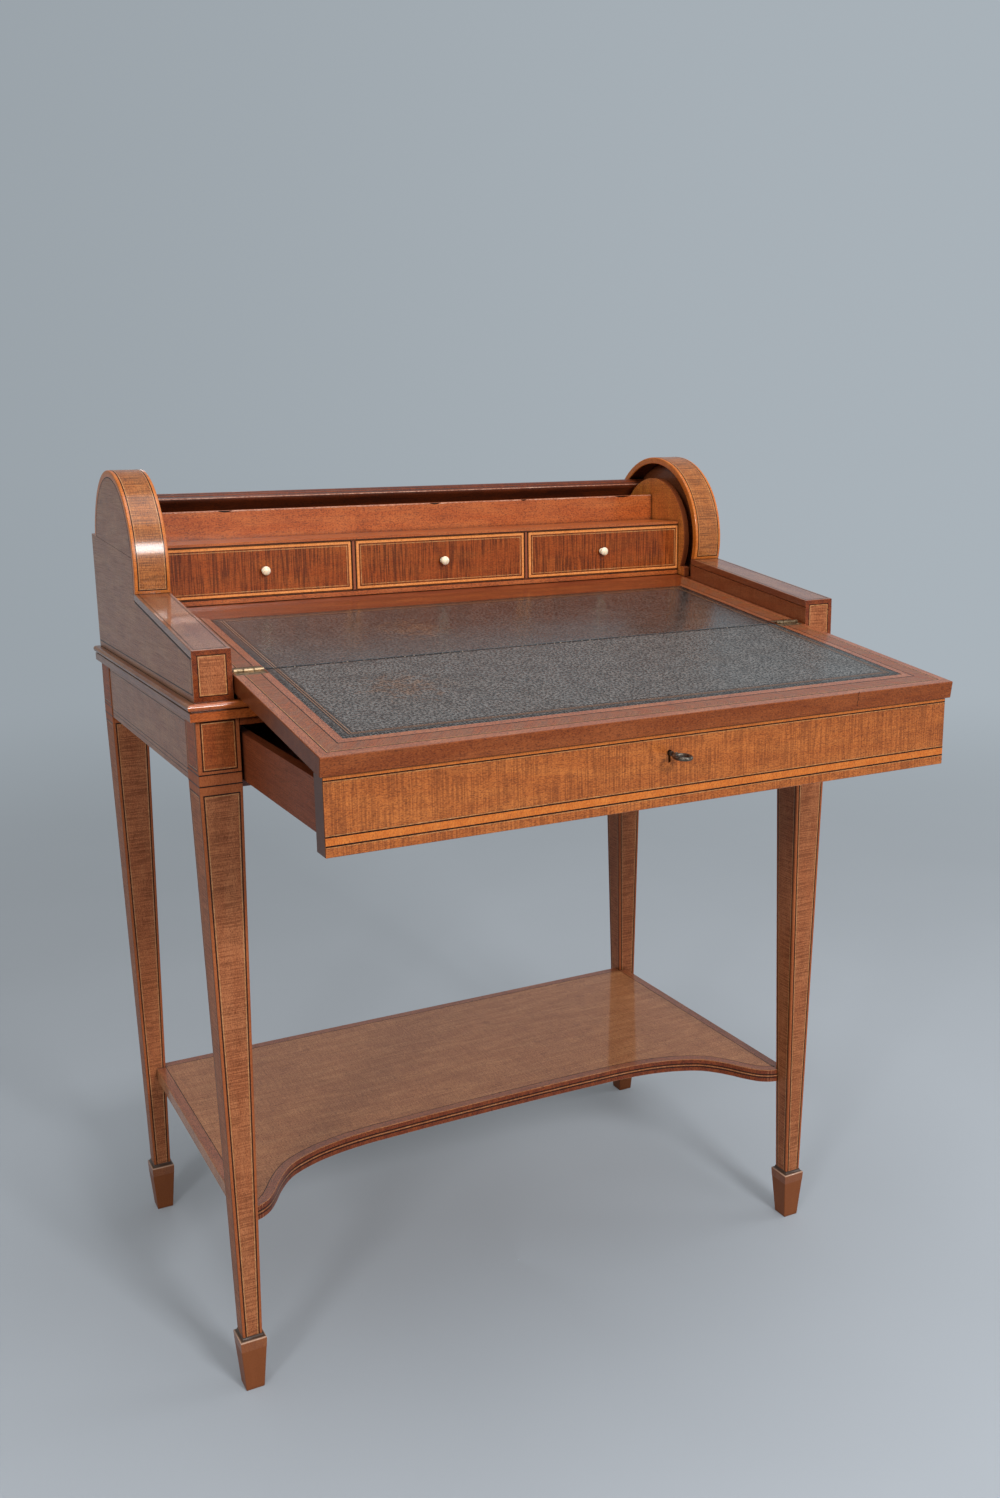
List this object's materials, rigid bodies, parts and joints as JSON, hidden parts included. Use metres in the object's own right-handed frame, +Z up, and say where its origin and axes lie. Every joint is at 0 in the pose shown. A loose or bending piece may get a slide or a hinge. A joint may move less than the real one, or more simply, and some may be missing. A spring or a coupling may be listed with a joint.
{
  "type": "cylinder bureau",
  "caption": "Small writing desk on tapered legs: a hood that rolls back over a nest of small drawers, a leather-topped flap that folds out over a frieze drawer, and an undershelf.",
  "frame": {"origin": "on the floor, midway between the outermost points in width and in depth as it stands open", "axes": "+X to the sitter's right, +Y from the sitter to the back, +Z up"},
  "size_m": [0.7208, 0.6672, 0.895],
  "materials": {
    "mahogany": "french polished, faded",
    "satinwood_banded": "fiddleback veneer with satinwood bands and dark stringing, polished",
    "drawer_lining": "waxed",
    "leather": "blind tooled, worn",
    "brass": "aged",
    "iron": "dark, handled",
    "bone": "turned and polished bone"
  },
  "bodies": {
    "carcass": {"leg_front_left": "mahogany", "leg_front_right": "mahogany", "leg_back_left": "mahogany", "leg_back_right": "mahogany", "side_rail_left": "mahogany", "side_rail_right": "mahogany", "drawer_runner_left": "drawer_lining", "drawer_runner_right": "drawer_lining", "back_rail": "mahogany", "front_top_rail": "mahogany", "front_bearer": "mahogany", "dust_board": "drawer_lining", "waist_moulding_front": "mahogany", "waist_moulding_left": "mahogany", "waist_moulding_right": "mahogany", "undershelf": "mahogany", "end_panel_left": "mahogany", "end_panel_right": "mahogany", "arm_cap_left": "mahogany", "arm_cap_right": "mahogany", "cheek_left": "mahogany", "cheek_right": "mahogany", "hood_rim_left": "satinwood_banded", "hood_rim_right": "satinwood_banded", "back_board": "mahogany", "writing_bed": "mahogany", "bed_leather": "leather", "bed_hinge_left": "brass", "bed_hinge_right": "brass", "nest_end_left": "satinwood_banded", "nest_end_right": "satinwood_banded", "nest_divider_left": "mahogany", "nest_divider_right": "mahogany", "nest_floor": "mahogany", "nest_shelf": "mahogany", "nest_back": "mahogany"},
    "flap": {"writing_flap": "mahogany", "flap_leather": "leather", "flap_hinge_left": "brass", "flap_hinge_right": "brass"},
    "cylinder": {"cylinder_shell": "mahogany", "cylinder_crank_left": "mahogany", "cylinder_crank_right": "mahogany"},
    "frieze_drawer": {"drawer_front": "satinwood_banded", "drawer_side_left": "drawer_lining", "drawer_side_right": "drawer_lining", "drawer_bottom": "drawer_lining", "drawer_back": "drawer_lining", "lock_case": "brass"},
    "key": {"key": "iron"},
    "small_drawer_left": {"small_front_left": "satinwood_banded", "small_tray_left": "drawer_lining", "small_knob_left": "bone"},
    "small_drawer_middle": {"small_front_middle": "satinwood_banded", "small_tray_middle": "drawer_lining", "small_knob_middle": "bone"},
    "small_drawer_right": {"small_front_right": "satinwood_banded", "small_tray_right": "drawer_lining", "small_knob_right": "bone"}
  },
  "joints": [
    {"name": "frieze_drawer_slide", "type": "slide", "parent": "carcass", "child": "frieze_drawer", "axis": [0, 1, 0], "range_m": [-0.04, 0.2155]},
    {"name": "flap_fold", "type": "hinge", "parent": "carcass", "child": "flap", "pos_m": [0, -0.07311, 0.72199], "axis": [-1, 0, 0], "range_deg": [0, 180]},
    {"name": "cylinder_turn", "type": "hinge", "parent": "carcass", "child": "cylinder", "pos_m": [0, 0.22065, 0.79877], "axis": [1, 0, 0], "range_deg": [0, 145]},
    {"name": "key_turn", "type": "hinge", "parent": "frieze_drawer", "child": "key", "pos_m": [0, -0.29855, 0.65581], "axis": [0, 1, 0], "range_deg": [0, 90]},
    {"name": "small_drawer_left_slide", "type": "slide", "parent": "carcass", "child": "small_drawer_left", "axis": [0, 1, 0], "range_m": [-0.04, 0]},
    {"name": "small_drawer_middle_slide", "type": "slide", "parent": "carcass", "child": "small_drawer_middle", "axis": [0, 1, 0], "range_m": [-0.04, 0]},
    {"name": "small_drawer_right_slide", "type": "slide", "parent": "carcass", "child": "small_drawer_right", "axis": [0, 1, 0], "range_m": [-0.04, 0]}
  ]
}
